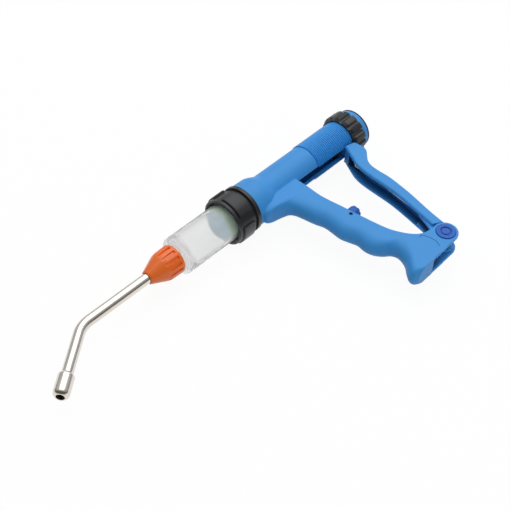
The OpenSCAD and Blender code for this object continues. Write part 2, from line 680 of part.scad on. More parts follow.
module lever() color(blue) gun() {
    foot = lever_front[0][0];
    roof = 0.955;
    steps = 30;
    past_foot = 0.02;
    tongue_gap = 0.4;
    tongue_w = slot_w - 2 * tongue_gap;
    tongue_t = 3.6;
    tongue_root = 2;
    tongue_l = shoulder_depth - tip_depth + tongue_root;
    ear_gap = 0.25;
    ear_z = clevis_w / 2 - ear_gap;
    ear_top = 0.24;
    ear_taper = 0.4;
    ear_half = ear_d / 2 - ear_taper;
    ear_set = 1;
    boss_clear = boss_d / 2 + 2 * slide_gap;
    swing = pivot_depth - sqrt(pow(sleeve_d / 2, 2) - pow(slot_w / 2, 2)) - slide_gap;
    difference() {
        union() {
            difference() {
                skin([for (i = [0 : steps]) lever_outside(1 + (foot - 1) * i / steps)]);
                skin([for (i = [0 : steps / 2]) lever_channel(roof + (foot - past_foot - roof) * i / steps * 2)]);
                at_pivot() {
                    cylinder(r = boss_clear, h = far, center = true);
                    // The top is rounded to swing clear under the sleeve
                    difference() {
                        cylinder(r = far, h = far, center = true);
                        cylinder(r = swing, h = 2 * far, center = true, $fn = 180);
                    }
                    rotate([0, 0, -squeeze_angle - foot_slope]) translate([-far, -far, -far])
                        cube([far, far + boss_clear, 2 * far]);
                }
            }
            for (side = [0, 1]) mirror([0, 0, side]) translate([0, 0, ear_z - ear_t]) {
                at_pivot() cylinder(d = ear_d, h = ear_t);
                linear_extrude(ear_t) polygon([[pivot_x - ear_half, -pivot_depth], [pivot_x + ear_half, -pivot_depth],
                    [pivot_x + along(lever_back, ear_top) - ear_set, lever_place(ear_top)],
                    [pivot_x + along(lever_front, ear_top) + ear_set, lever_place(ear_top)]]);
            }
        }
        at_pivot() cylinder(d = pin_d + 2 * run_gap, h = far, center = true);
    }
    // Tongue through the slot, with the rounded tip between the spool's flanges, square to them at mid stroke
    translate([tip_x, -tip_depth, -tongue_w / 2]) {
        cylinder(d = tip_d, h = tongue_w);
        rotate([0, 0, -squeeze_angle / 2]) translate([-tongue_t / 2, -tongue_l, 0])
            cube([tongue_t, tongue_l, tongue_w]);
    }
}

module pivot_pin() color(steel) gun() at_pivot()
    cylinder(d = pin_d, h = handle_w - 2 * cap_seat, center = true);

module cap_disc() {
    groove_r = cap_d * 0.3;
    groove = 0.4;
    edge = 0.3;
    translate([0, 0, handle_w / 2 - cap_seat]) rotate_extrude()
        polygon([[0, 0], [cap_d / 2, 0], [cap_d / 2, cap_t - edge], [cap_d / 2 - edge, cap_t],
            [groove_r + groove, cap_t], [groove_r + groove, cap_t - groove], [groove_r - groove, cap_t - groove],
            [groove_r - groove, cap_t], [0, cap_t]]);
}
module pivot_cap() color(deep_blue) gun() at_pivot() cap_disc();
module pivot_cap_far() color(deep_blue) gun() at_pivot() mirror([0, 0, 1]) cap_disc();

// From the hole in the foot, round the pivot, then up inside the lever's channel
module torsion_spring() color(steel) gun() {
    per_turn = 8;
    r = curl_d / 2;
    wall_z = lever_w / 2 - lever_wall - wire_d;
    lean = 4;
    hook_back = 2.4;
    hook_up = 1.6;
    steps = round(coil_turn / 360 * per_turn);
    coil = [for (i = [0 : steps]) let (a = 270 + coil_turn * i / steps)
        [r * cos(a), r * sin(a), -coil_h / 2 + coil_h * i / steps]];
    end = coil[steps];
    up = [for (u = [0.2, 0.35, 0.6, 0.85, 1]) [end[0] + lever_leg * u * tan(lean),
        end[1] + lever_leg * u, u < 0.5 ? end[2] : wall_z]];
    hook = [up[4][0] + hook_back, up[4][1] + hook_up, wall_z];
    path = concat([[-foot_leg, -r, coil[0][2]], [-foot_leg / 2, -r, coil[0][2]]], coil, up, [hook]);
    echo(torsion_spring_gap = least_gap(coil, wire_d, 5));
    at_pivot() wire(path, wire_d, [0, 0, 1]);
}

module stop_screw() color(steel) gun() translate([0, -screw_depth, 0]) {
    neck_in = 0.5;
    neck_d = screw_d - 2 * neck_in;
    end = knob_from() + knob_l - knob_roof;
    neck_from = keeper_x() - keeper_d / 2 - slide_gap - screw_travel;
    neck_to = keeper_x() + keeper_d / 2 + slide_gap;
    turned([[0, screw_root()], [screw_d / 2, screw_root()], [screw_d / 2, neck_from], [neck_d / 2, neck_from],
        [neck_d / 2, neck_to], [screw_d / 2, neck_to], [screw_d / 2, end], [0, end]]);
}
knob_gap = 1.6;
knob_roof = 2;
function knob_from() = handle_x + along(rear_edge, screw_depth / foot_depth) + knob_gap;

module stop_knob() color(deep_blue) gun() translate([0, -screw_depth, 0]) difference() {
    hollow_share = 0.5;
    hollow_d = knob_d * PI / knob_lobes * hollow_share;
    edge = 0.8;
    dome_l = 3;
    dome_in = 2;
    from = knob_from();
    to = from + knob_l;
    turned([[0, from], [knob_d / 2 - edge, from], [knob_d / 2, from + edge], [knob_d / 2, to - dome_l],
        [knob_d / 2 - edge, to - edge], [knob_d / 2 - dome_in, to], [0, to]]);
    bar(screw_d, from - over, to - knob_roof);
    for (i = [0 : knob_lobes - 1]) rotate([i * 360 / knob_lobes, 0, 0])
        translate([0, knob_d / 2 + hollow_d / 4, 0]) bar(hollow_d, from - over, to + over);
}

module knob_keeper() color(steel) gun() translate([keeper_x(), keeper_y(), 0]) {
    keeper_set = 1.2;
    cylinder(d = keeper_d, h = handle_w - 2 * keeper_set, center = true);
}

body_housing();
barrel_nut();
barrel_gasket();
barrel();
outlet_ball();
outlet_spring();
nozzle_nut();
nozzle_seal();
nozzle_tube();
nozzle_tip();
dose_sleeve();
dose_ring();
end_cap();
end_ring();
plunger_rod();
drive_spool();
feed_tail();
piston();
piston_seal();
inlet_ball();
lever();
pivot_pin();
pivot_cap();
pivot_cap_far();
torsion_spring();
stop_screw();
stop_knob();
knob_keeper();
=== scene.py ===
import math

import bmesh
import bpy
from mathutils import Matrix, Vector


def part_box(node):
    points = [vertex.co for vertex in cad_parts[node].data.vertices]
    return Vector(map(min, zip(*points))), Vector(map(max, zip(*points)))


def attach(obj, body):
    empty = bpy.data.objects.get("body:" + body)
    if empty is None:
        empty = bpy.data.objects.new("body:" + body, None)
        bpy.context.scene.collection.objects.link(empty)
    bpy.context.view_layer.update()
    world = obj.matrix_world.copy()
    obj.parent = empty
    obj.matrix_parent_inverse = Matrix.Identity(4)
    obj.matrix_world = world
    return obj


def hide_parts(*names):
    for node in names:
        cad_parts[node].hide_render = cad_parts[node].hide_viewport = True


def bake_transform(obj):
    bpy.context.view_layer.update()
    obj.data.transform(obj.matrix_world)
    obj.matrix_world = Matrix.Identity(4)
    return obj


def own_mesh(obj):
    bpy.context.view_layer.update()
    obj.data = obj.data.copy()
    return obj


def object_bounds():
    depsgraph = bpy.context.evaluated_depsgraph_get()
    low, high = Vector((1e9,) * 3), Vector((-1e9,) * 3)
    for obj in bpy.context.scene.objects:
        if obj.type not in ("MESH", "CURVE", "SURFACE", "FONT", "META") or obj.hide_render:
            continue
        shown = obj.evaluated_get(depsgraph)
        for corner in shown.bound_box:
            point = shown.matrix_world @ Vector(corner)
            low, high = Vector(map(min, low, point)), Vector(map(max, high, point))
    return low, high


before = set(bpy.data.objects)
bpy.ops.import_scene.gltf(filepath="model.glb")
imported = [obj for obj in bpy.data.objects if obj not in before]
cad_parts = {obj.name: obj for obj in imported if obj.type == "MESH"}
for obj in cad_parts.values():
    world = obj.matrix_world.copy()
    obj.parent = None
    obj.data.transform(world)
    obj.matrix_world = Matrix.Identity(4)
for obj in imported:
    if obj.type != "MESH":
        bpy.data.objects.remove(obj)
cad_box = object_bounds()

# Body housing
# One blue nylon moulding: the tube with its flared socket, the handle with four finger hollows
# and the forked foot. It is drawn in millimetres from the socket face, as every piece here is.
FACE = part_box("barrel_nut")[1].x
PIVOT = (76.7, -117.7)


def mesh_of(name, verts, faces):
    """Mesh with doubled points joined and its faces turned outwards."""
    mesh = bpy.data.meshes.new(name)
    mesh.from_pydata(verts, [], faces)
    bm = bmesh.new()
    bm.from_mesh(mesh)
    bmesh.ops.remove_doubles(bm, verts=bm.verts, dist=1e-5)
    bmesh.ops.recalc_face_normals(bm, faces=bm.faces)
    bm.to_mesh(mesh)
    bm.free()
    return mesh


def skin(name, rings):
    """Closed surface over a list of rings with equal counts, with flat ends."""
    n = len(rings[0])
    verts = [p for ring in rings for p in ring]
    faces = [tuple(range(n)), tuple(range((len(rings) - 1) * n, len(rings) * n))]
    for i in range(len(rings) - 1):
        for k in range(n):
            j = (k + 1) % n
            faces.append((i * n + k, i * n + j, (i + 1) * n + j, (i + 1) * n + k))
    return mesh_of(name, verts, faces)


def turned(name, profile, steps=96, reach=None):
    """Closed profile of (x, radius) turned about the barrel axis.

    A function reach(x, radius, angle) may change the radius.
    """
    verts = []
    for k in range(steps):
        a = 2 * math.pi * k / steps
        for x, r in profile:
            q = reach(x, r, a) if reach else r
            verts.append((x, q * math.cos(a), q * math.sin(a)))
    n = len(profile)
    faces = []
    for k in range(steps):
        for i in range(n):
            a, b = k * n + i, k * n + (i + 1) % n
            c, d = ((k + 1) % steps) * n + (i + 1) % n, ((k + 1) % steps) * n + i
            faces.append((a, b, c, d))
    return mesh_of(name, verts, faces)


def eased(points, radius, arc=4):
    """The closed profile with each corner rounded."""
    out = []
    for i, p in enumerate(points):
        a, b, c = Vector(points[i - 1]), Vector(p), Vector(points[(i + 1) % len(points)])
        back = min(radius, 0.45 * (a - b).length, 0.45 * (c - b).length)
        if back < 1e-6 or p[1] < 1e-6:
            out.append(tuple(p))
            continue
        s, e = b + (a - b).normalized() * back, b + (c - b).normalized() * back
        for k in range(arc + 1):
            u = k / arc
            q = s * (1 - u) ** 2 + b * 2 * u * (1 - u) + e * u ** 2
            out.append((q.x, q.y))
    return out


def worked(mesh, *steps):
    """The mesh after a list of modifiers: (kind, {setting: value})."""
    o = bpy.data.objects.new("work", mesh)
    bpy.context.scene.collection.objects.link(o)
    for kind, settings in steps:
        m = o.modifiers.new(kind, kind)
        for key, value in settings.items():
            setattr(m, key, value)
    view = bpy.context.evaluated_depsgraph_get()
    done = bpy.data.meshes.new_from_object(o.evaluated_get(view))
    bpy.data.objects.remove(o)
    return done


def cut(mesh, tools, operation="DIFFERENCE"):
    """The mesh joined to, or cut by, a list of other closed meshes."""
    for tool in tools:
        t = bpy.data.objects.new("tool", tool)
        bpy.context.scene.collection.objects.link(t)
        mesh = worked(mesh, ("BOOLEAN", {"object": t, "operation": operation, "solver": "EXACT"}))
        bpy.data.objects.remove(t)
    return mesh


def block(low, high):
    """Plain block between two opposite corners."""
    (a, b, c), (d, e, f) = low, high
    return skin("block", [[(a, b, z), (d, b, z), (d, e, z), (a, e, z)] for z in (c, f)])


def rod(a, b, r, steps=48):
    """Plain round bar from point a to point b."""
    a, b = Vector(a), Vector(b)
    turn = (b - a).to_track_quat("Z", "Y")
    rings = []
    for end in (a, b):
        rings.append([tuple(end + turn @ Vector((r * math.cos(2 * math.pi * k / steps),
                                                 r * math.sin(2 * math.pi * k / steps), 0)))
                      for k in range(steps)])
    return skin("rod", rings)


def unit(value):
    """The value held between 0 and 1."""
    return min(max(value, 0), 1)


def along(pairs, s):
    """Smooth curve through (place, value) pairs."""
    i = 0
    while i < len(pairs) - 2 and s >= pairs[i + 1][0]:
        i += 1

    def slope(k):
        p, q = pairs[max(k - 1, 0)], pairs[min(k + 1, len(pairs) - 1)]
        return (q[1] - p[1]) / (q[0] - p[0])
    (s0, v0), (s1, v1) = pairs[i], pairs[i + 1]
    w = s1 - s0
    u = unit((s - s0) / w)
    return (v0 * (1 + 2 * u) * (1 - u) ** 2 + slope(i) * w * u * (1 - u) ** 2
            + v1 * u * u * (3 - 2 * u) + slope(i + 1) * w * u * u * (u - 1))


def place(name, mesh, body, nodes, material, sharp=38):
    """Puts a mesh drawn from the socket face into the row frame, in metres.

    It rides on its body; a piece that bends between two bodies is given none here.
    """
    mesh.transform(Matrix.Translation((FACE, 0, 0)) @ Matrix.Scale(0.001, 4))
    bm = bmesh.new()
    bm.from_mesh(mesh)
    for f in bm.faces:
        f.smooth = True
    for e in bm.edges:
        e.smooth = len(e.link_faces) == 2 and e.calc_face_angle(0) < math.radians(sharp)
    bm.to_mesh(mesh)
    bm.free()
    o = bpy.data.objects.new(name, mesh)
    bpy.context.scene.collection.objects.link(o)
    mesh.materials.clear()
    mesh.materials.append(material)
    if body:
        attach(o, body)
    if nodes:
        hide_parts(*nodes)
    return o


def add_node(tree, kind, inputs=(), **settings):
    """New shader node; each input gets a value or a link from another node's output."""
    made = tree.nodes.new("ShaderNode" + kind)
    for key, value in settings.items():
        setattr(made, key, value)
    for key, value in dict(inputs).items():
        if isinstance(value, bpy.types.NodeSocket):
            tree.links.new(value, made.inputs[key])
        else:
            made.inputs[key].default_value = value
    return made


def blended(tree, factor, a, b):
    """Colour that goes from a to b by a factor."""
    mix = add_node(tree, "Mix", {"Factor": factor, "A": a, "B": b}, data_type="RGBA")
    return mix.outputs["Result"]


def ranged(tree, source, to_low, to_high, low=0, high=1):
    """Value that goes from to_low to to_high as the source goes from low to high."""
    share = add_node(tree, "MapRange", {"Value": source, "From Min": low, "From Max": high,
                                        "To Min": to_low, "To Max": to_high})
    return share.outputs["Result"]


def moulded(name, base, rough=0.42, mottle=0.05, grain=0.04, specular=0.5, wear=0.15, hollow_shade=0):
    """Moulded plastic: fine spark-eroded grain, slow drift of tone and gloss, rubbed edges,
    painted shade in creases and, where asked, painted shade in hollows."""
    # Strength of the painted shade that darkens concave creases.
    crease_shade = 0.35
    m = bpy.data.materials.new(name)
    m.use_nodes = True
    t = m.node_tree
    p = t.nodes["Principled BSDF"]
    p.inputs["Specular IOR Level"].default_value = specular
    where = add_node(t, "TexCoord").outputs["Object"]
    noise = add_node(t, "TexNoise", {"Vector": where, "Scale": 55, "Detail": 3})
    drift = noise.outputs["Fac"]
    colour = blended(t, drift, (*[c * (1 - mottle) for c in base], 1),
                     (*[min(c * (1 + mottle), 1) for c in base], 1))
    edges = add_node(t, "NewGeometry").outputs["Pointiness"]
    # The first layer is painted shade that darkens the creases; the second is paler rubbed wear on the
    # edges.
    layers = [(edges, 0.48, 0.36, crease_shade, [c * 0.3 for c in base]),
              (edges, 0.54, 0.68, wear, [min(c * 1.25 + 0.12, 1) for c in base])]
    # Painted shade: ambient occlusion darkens the hollows towards a tenth of the base colour, deepest in
    # the lever's channel.
    if hollow_shade:
        walls = add_node(t, "AmbientOcclusion", {"Distance": 0.014}, samples=8, only_local=True)
        layers.append((walls.outputs["AO"], 0.62, 0.3, hollow_shade, [c * 0.1 for c in base]))
    for source, low, high, amount, other in layers:
        colour = blended(t, ranged(t, source, 0, amount, low, high), colour, (*other, 1))
    t.links.new(colour, p.inputs["Base Color"])
    t.links.new(ranged(t, drift, rough - 0.06, rough + 0.06), p.inputs["Roughness"])
    pits = add_node(t, "TexNoise", {"Vector": where, "Scale": 2600, "Detail": 2})
    bump = add_node(t, "Bump", {"Height": pits.outputs["Fac"], "Strength": grain,
                                "Distance": 0.0002})
    t.links.new(bump.outputs["Normal"], p.inputs["Normal"])
    return m


# This blue gets painted shade in its hollows, darkest in the lever's channel and the foot's slot.
blue = moulded("blue nylon", (0.054, 0.335, 0.81), rough=0.48, specular=0.35, hollow_shade=0.9)

FOOT = 126.5
HANDLE_REAR, HANDLE_FRONT, HANDLE_HALF = 43.5, 24.5, 8
GRIP_TOP, NOTCH_TOP, NOTCH_END = 0.05, 0.84, 0.866
REAR = [(GRIP_TOP, 0), (0.16, 0.3), (0.28, 0), (0.42, 2.6), (0.53, 4.6), (0.62, 6.4), (0.70, 8.6),
        (0.757, 11.7), (0.79, 14.2), (0.82, 17.1), (NOTCH_TOP, 20.2), (0.854, 24.3),
        (NOTCH_END, 33.2), (1, 33.2)]
FRONT = [(GRIP_TOP, -20.5), (0.15, -20.2), (0.166, -12), (0.184, -4.6), (0.215, -1.2), (0.27, 0.4),
         (0.34, 1.8), (0.395, 4), (0.45, 4), (0.51, 3.6), (0.56, 5.2), (0.61, 7.1), (0.665, 6.4),
         (0.71, 7.6), (0.75, 11), (0.78, 15.4), (0.814, 17.5), (0.854, 16.9), (0.893, 14.3),
         (0.925, 10.3), (0.96, 6.7), (0.984, 7.1), (1, 11)]
NOSE = [(GRIP_TOP, 16), (0.16, 16), (0.21, 13), (0.27, 11), (0.35, 10), (0.8, 9.5), (0.9, 8), (1, 7)]
TUBE_R, BORE_R, BOSS_R = 13.5, 11, 8.8
SLOT_HALF, FORK_HALF = 4.9, 5.6
PIN_HOLE_R, CAP_SEAT, CAP_HOLE_R = 2.5, 7.2, 7.05
SCREW_Y, SCREW_HOLE_R = -57.5, 2.5


def grip_ring(s):
    """The handle's section at a share s of the way from the barrel's axis to the foot."""
    back = HANDLE_REAR + along(REAR, s)
    front = HANDLE_FRONT + along(FRONT, s)
    half, r = HANDLE_HALF, 1.6
    nose = min(along(NOSE, s), back - front - 2 * r)
    quarter = [math.pi / 2 * k / 6 for k in range(7)]
    points = [(back - r + r * math.sin(a), -half + r - r * math.cos(a)) for a in quarter]
    points += [(back - r + r * math.cos(a), half - r + r * math.sin(a)) for a in quarter]
    full = 1 - 0.3 * unit((0.34 - s) / 0.14)
    for k in range(41):
        a = math.pi * k / 40
        points.append((front + nose - nose * max(math.sin(a), 0) ** full,
                       half * math.copysign(abs(math.cos(a)) ** full, math.cos(a))))
    dip = 0.03 * unit((s - 0.86) / 0.14)
    return [(x, -s * FOOT - dip * (PIVOT[0] - x), z) for x, z in points]


def housing_mesh():
    """Tube, handle and boss joined, then bored, slotted and forked, with eased edges."""
    shares = [GRIP_TOP + (NOTCH_TOP - GRIP_TOP) * i / 120 for i in range(120)]
    shares += [NOTCH_TOP + (NOTCH_END - NOTCH_TOP) * i / 16 for i in range(16)]
    shares += [NOTCH_END + (1 - NOTCH_END) * i / 20 for i in range(21)]
    handle = skin("handle", [grip_ring(s) for s in shares])
    fall = [(12.4 + 11.6 * u, TUBE_R + 3.1 * (1 - u * u * (3 - 2 * u)))
            for u in [k / 12 for k in range(13)]]
    tube = turned("tube", [(-12.3, 0), (-12.3, 15.1), (0, 15.1), (0, 16.6), (0.3, 16.9)] + fall
                  + [(66.0, TUBE_R), (66.4, 13.1), (66.4, 0)], steps=128)
    x, y = PIVOT
    boss = rod((x, y, -HANDLE_HALF), (x, y, HANDLE_HALF), BOSS_R, 96)
    solid = cut(tube, [handle, boss], "UNION")
    bore = [rod((-20, 0, 0), (70, 0, 0), BORE_R, 96),
            rod((59.6, 0, 0), (70, 0, 0), 12.35, 96),
            block((44.5, -27, -SLOT_HALF), (70, 0, SLOT_HALF))]
    fork = [rod((x, y, -FORK_HALF), (x, y, FORK_HALF), 9, 96),
            block((x, y - 30, -FORK_HALF), (x + 30, y + 30, FORK_HALF)),
            block((x - 9, y, -FORK_HALF), (x + 30, y + 40, FORK_HALF)),
            block((51.7, y - 30, -FORK_HALF), (x + 30, y, FORK_HALF))]
    pin_holes = [rod((x, y, -20), (x, y, 20), PIN_HOLE_R),
                 rod((x, y, CAP_SEAT), (x, y, 20), CAP_HOLE_R, 96),
                 rod((x, y, -20), (x, y, -CAP_SEAT), CAP_HOLE_R, 96)]
    screw_holes = [rod((33.5, SCREW_Y, 0), (70, SCREW_Y, 0), SCREW_HOLE_R),
                   rod((43.9, -61, -20), (43.9, -61, 20), 1.3)]
    solid = cut(solid, bore + fork + pin_holes + screw_holes)
    return worked(solid, ("REMESH", {"mode": "VOXEL", "voxel_size": 0.42}),
                  ("SMOOTH", {"factor": 0.5, "iterations": 3}))


place("housing_shell", housing_mesh(), "housing", ["body_housing"], blue, sharp=50)


def wire_mesh(name, path, r, sides=12):
    """Round wire along a smooth list of points."""
    points = [Vector(p) for p in path]
    rings = []
    side = Vector((0, 0, 1))
    for i, p in enumerate(points):
        t = (points[min(i + 1, len(points) - 1)] - points[max(i - 1, 0)]).normalized()
        side = (side - t * side.dot(t)).normalized()
        other = t.cross(side)
        rings.append([tuple(p + r * (math.cos(2 * math.pi * k / sides) * side
                                     + math.sin(2 * math.pi * k / sides) * other)) for k in range(sides)])
    return skin(name, rings)


# A fine dark line beside the pivot on each face of the foot, as a thin bead sunk in the surface.
line_blue = moulded("line shadow", (0.006, 0.05, 0.22), rough=0.7, specular=0.05)
LINE_X = [(0, 59.5), (0.15, 62.2), (0.45, 64.4), (0.72, 64.6), (1, 62.9)]
LINE_Y = [(0, -108.2), (0.15, -108.25), (0.45, -113.5), (0.72, -118.5), (1, -122.5)]
for side, z in (("near", 7.95), ("far", -7.95)):
    line = [(along(LINE_X, k / 30), along(LINE_Y, k / 30), z) for k in range(31)]
    place("foot_line_" + side, wire_mesh("line", line, 0.2, 8), "housing", (), line_blue)

# Dose sleeve
# A blue tube screwed into the rear of the housing. Close rings round it carry the dose ring;
# a plain strip along its top is left for reading the setting. The lever works through its slot.
sleeve_blue = moulded("sleeve nylon", (0.034, 0.30, 0.78), rough=0.46, specular=0.3)
SLEEVE_R = 14.05
GROOVE_R = SLEEVE_R - 0.5


def sleeve_mesh():
    """Ribbed tube; its grooves fade out towards the plain strip on top."""
    pitch, groove, bottom, first, ribs = 1.65, 0.8, 0.3, 67.2, 22
    slope = (groove - bottom) / 2
    outside = [(66.4, 13.7), (66.7, SLEEVE_R)]
    for i in range(ribs):
        x = first + i * pitch
        outside += [(x, SLEEVE_R), (x + slope, GROOVE_R), (x + slope + bottom, GROOVE_R),
                    (x + groove, SLEEVE_R)]
    outside += [(117.0, SLEEVE_R), (117.3, 13.8)]
    profile = [(59.9, BORE_R), (59.9, 12.25), (66.39, 12.25)] + outside + [(117.3, BORE_R)]

    def reach(x, r, a):
        if r != GROOVE_R:
            return r
        from_top = abs(math.degrees(math.atan2(math.sin(a), math.cos(a))))
        return SLEEVE_R - (SLEEVE_R - r) * unit((from_top - 60) / 45)

    sleeve = turned("sleeve", profile, 180, reach)
    return cut(sleeve, [block((50, -27, -SLOT_HALF), (103.6, 0, SLOT_HALF))])


place("ribbed_sleeve", sleeve_mesh(), "housing", ["dose_sleeve"],
      sleeve_blue, sharp=42)

# Dose ring
# A black nylon ring with fourteen narrow hollows for the fingers, on the sleeve's thread.
# It stops the lever's return, so turning it sets the dose.
black = moulded("black nylon", (0.019, 0.020, 0.022), rough=0.34, mottle=0.12, grain=0.06, wear=0.1)
KNURLS, KNURL_DEPTH, KNURL_FROM = 14, 1.2, 15.4


def ring_mesh():
    profile = eased([(103.9, 14.4), (103.9, 15.5), (106.5, 17.1), (115.9, 17.1), (116.4, 16.6),
                     (116.4, 14.4)], 0.4)

    def reach(x, r, a):
        if r < KNURL_FROM:
            return r
        turn = (a / (2 * math.pi) * KNURLS) % 1
        hollow = max(0, 1 - (abs(turn - 0.5) / 0.24) ** 2)
        return r - KNURL_DEPTH * hollow * min((r - KNURL_FROM) / KNURL_DEPTH, 1)

    return turned("ring", profile, 280, reach)


place("knurled_ring", ring_mesh(), "dose_adjuster", ["dose_ring"], black)

# End cap and end ring
# A blue nylon plug closes the sleeve's rear end round the feed tail.
# A thin black nylon ring behind it finishes the edge.
cap_profile = eased([(111.3, 7.5), (111.3, 10.95), (116.8, 10.95), (116.8, 14.8), (121.3, 14.8),
                     (121.3, 7.5)], 0.5)
place("sleeve_cap", turned("cap", cap_profile), "housing", ["end_cap"], blue)
rim_profile = eased([(121.3, 8.5), (121.3, 15.0), (122.3, 15.0), (122.3, 8.5)], 0.4)
place("cap_rim", turned("rim", rim_profile), "housing", ["end_ring"], black)

# Plunger
# A hollow steel rod with a nylon spool on it that the lever's tip moves, and the feed tail
# behind. A pale piston with a soft green seal is pressed on its front and shows through the barrel.


def metal(name, base, rough, streak, along_scale=(1, 1, 1), scale=400):
    """Bare metal: drawn or polished, with fine streaks in its gloss and paler rubbed edges."""
    m = bpy.data.materials.new(name)
    m.use_nodes = True
    t = m.node_tree
    p = t.nodes["Principled BSDF"]
    p.inputs["Metallic"].default_value = 1
    where = add_node(t, "TexCoord").outputs["Object"]
    stretch = add_node(t, "Mapping", {"Vector": where, "Scale": along_scale})
    noise = add_node(t, "TexNoise", {"Vector": stretch.outputs["Vector"], "Scale": scale,
                                     "Detail": 4})
    lines = noise.outputs["Fac"]
    colour = blended(t, lines, (*[c * 0.94 for c in base], 1), (*base, 1))
    edges = add_node(t, "NewGeometry").outputs["Pointiness"]
    colour = blended(t, ranged(t, edges, 0, 0.5, 0.54, 0.7), colour,
                     (*[min(c * 1.2, 1) for c in base], 1))
    t.links.new(colour, p.inputs["Base Color"])
    bump = add_node(t, "Bump", {"Height": lines, "Strength": 0.02, "Distance": 0.0001})
    t.links.new(bump.outputs["Normal"], p.inputs["Normal"])
    gloss = ranged(t, lines, max(rough - streak, 0.02), rough + streak)
    t.links.new(gloss, p.inputs["Roughness"])
    return m


def paint(material, *nodes):
    """Gives a material to solids that show as they are."""
    for name in nodes:
        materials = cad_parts[name].data.materials
        materials.clear()
        materials.append(material)


drawn_steel = metal("drawn steel", (0.60, 0.60, 0.59), 0.3, 0.08, (0.08, 1, 1))
spool_grey = moulded("spool nylon", (0.05, 0.05, 0.06), rough=0.5)
paint(drawn_steel, "plunger_rod", "feed_tail", "inlet_ball", "outlet_ball", "pivot_pin", "stop_screw")
paint(spool_grey, "drive_spool")

piston_grey = moulded("piston acetal", (0.60, 0.80, 0.90), rough=0.38)
piston_profile = eased([(-23.8, 0), (-23.8, 11.0), (-23.3, 11.4), (-23.3, 9.8), (-18.2, 9.8), (-18.2, 11.7),
                        (-15.8, 11.7), (-15.8, 6.6), (-11.8, 6.6), (-11.8, 4.6), (-17.4, 4.6), (-17.4, 3.0),
                        (-22.8, 3.0), (-22.8, 0)], 0.25)


def piston_mesh():
    """The piston with fine lines cut across its face."""
    pitch, half = 2.6, 0.14
    lines = [block((-24.6, -11, pitch * k - half), (-23.6, 11, pitch * k + half))
             for k in range(-3, 4)]
    for line in lines:
        line.transform(Matrix.Rotation(math.radians(-35), 4, "X"))
    return cut(turned("piston", piston_profile), lines)


place("piston_head", piston_mesh(), "plunger", ["piston"], piston_grey)
seal_green = moulded("seal silicone", (0.50, 0.70, 0.50), rough=0.3)
seal_profile = eased([(-23.3, 9.8), (-23.3, 11.5), (-22.9, 11.95), (-21.9, 11.95), (-21.6, 11.5),
                      (-21.6, 10.4), (-21.1, 10.4), (-21.1, 11.5), (-20.7, 11.95), (-18.8, 11.95),
                      (-18.2, 11.45), (-18.2, 9.8)], 0.3)
place("piston_lip", turned("lip", seal_profile), "plunger", ["piston_seal"], seal_green)

# Barrel
# A frosted polypropylene cylinder, open at the rear with a flange under the nut, closed at the
# front by a wall with the outlet valve's nose. The piston shows through it.


def frosted(name):
    """Milky plastic: part clear, part scattering. It is denser in its outer skin, at the limbs
    and at the nose, and bends light least at the limbs and the nose."""
    m = bpy.data.materials.new(name)
    m.use_nodes = True
    t = m.node_tree
    t.nodes.clear()
    where = add_node(t, "TexCoord").outputs["Object"]
    noise = add_node(t, "TexNoise", {"Vector": where, "Scale": 60, "Detail": 2})
    cloud = noise.outputs["Fac"]
    tone = blended(t, cloud, (0.95, 0.96, 0.965, 1), (0.985, 0.985, 0.985, 1))
    pits = add_node(t, "TexNoise", {"Vector": where, "Scale": 1800})
    bump = add_node(t, "Bump", {"Height": pits.outputs["Fac"], "Strength": 0.03,
                                "Distance": 0.0002})
    milk = add_node(t, "BsdfTranslucent", {"Color": tone})
    face = add_node(t, "BsdfPrincipled", {"Base Color": tone, "Specular IOR Level": 0.35,
                                          "Roughness": ranged(t, cloud, 0.34, 0.42),
                                          "Normal": bump.outputs["Normal"]})
    scatter = add_node(t, "MixShader", {"Fac": 0.15, 1: milk.outputs["BSDF"],
                                        2: face.outputs["BSDF"]})
    axis = add_node(t, "SeparateXYZ", {"Vector": where})
    flat = add_node(t, "CombineXYZ", {"Y": axis.outputs["Y"], "Z": axis.outputs["Z"]})
    radius = add_node(t, "VectorMath", {0: flat.outputs["Vector"]}, operation="LENGTH")
    limb = add_node(t, "LayerWeight", {"Blend": 0.22}).outputs["Facing"]

    def pick(operation, a, b):
        return add_node(t, "Math", {0: a, 1: b}, operation=operation).outputs["Value"]

    skin_haze = ranged(t, radius.outputs["Value"], 0.03, 0.3, 0.0122, 0.0138)
    nose_haze = ranged(t, axis.outputs["X"], 0, 0.46, -0.1815, -0.1845)
    limb_haze = ranged(t, limb, 0, 0.36)
    haze = pick("MAXIMUM", pick("MAXIMUM", skin_haze, nose_haze), limb_haze)
    plain_ior, thin_ior = 1.32, 1.002
    nose_bend = ranged(t, axis.outputs["X"], plain_ior, thin_ior, -0.1805, -0.1835)
    limb_bend = ranged(t, limb, plain_ior, thin_ior, 0, 0.7)
    clear = add_node(t, "BsdfGlass", {"Color": (1, 1, 1, 1), "Roughness": 0.12,
                                      "IOR": pick("MINIMUM", nose_bend, limb_bend)})
    wall = add_node(t, "MixShader", {"Fac": haze, 1: clear.outputs["BSDF"],
                                     2: scatter.outputs["Shader"]})
    add_node(t, "OutputMaterial", {"Surface": wall.outputs["Shader"]})
    return m


frost = frosted("frosted polypropylene")
barrel_profile = eased([(-13.7, 12), (-13.7, 15.1), (-16.5, 15.1), (-16.5, 13.9), (-63.2, 13.9),
                        (-63.2, 10.7), (-65.2, 10.7), (-65.2, 7.4), (-77.0, 7.4), (-77.0, 4.2),
                        (-64.4, 4.2), (-62.0, 1.8), (-60.0, 1.8), (-60.0, 12)], 0.9)
place("barrel_shell", turned("barrel", barrel_profile, 128), "housing", ["barrel"],
      frost)

# Barrel nut
# A black nylon nut with four raised grip pads, screwed on the housing's spigot. It clamps the
# barrel's flange on a rubber gasket.
PAD_HEIGHT, PAD_HALF, PAD_PHASE = 1.6, 31, 15.5


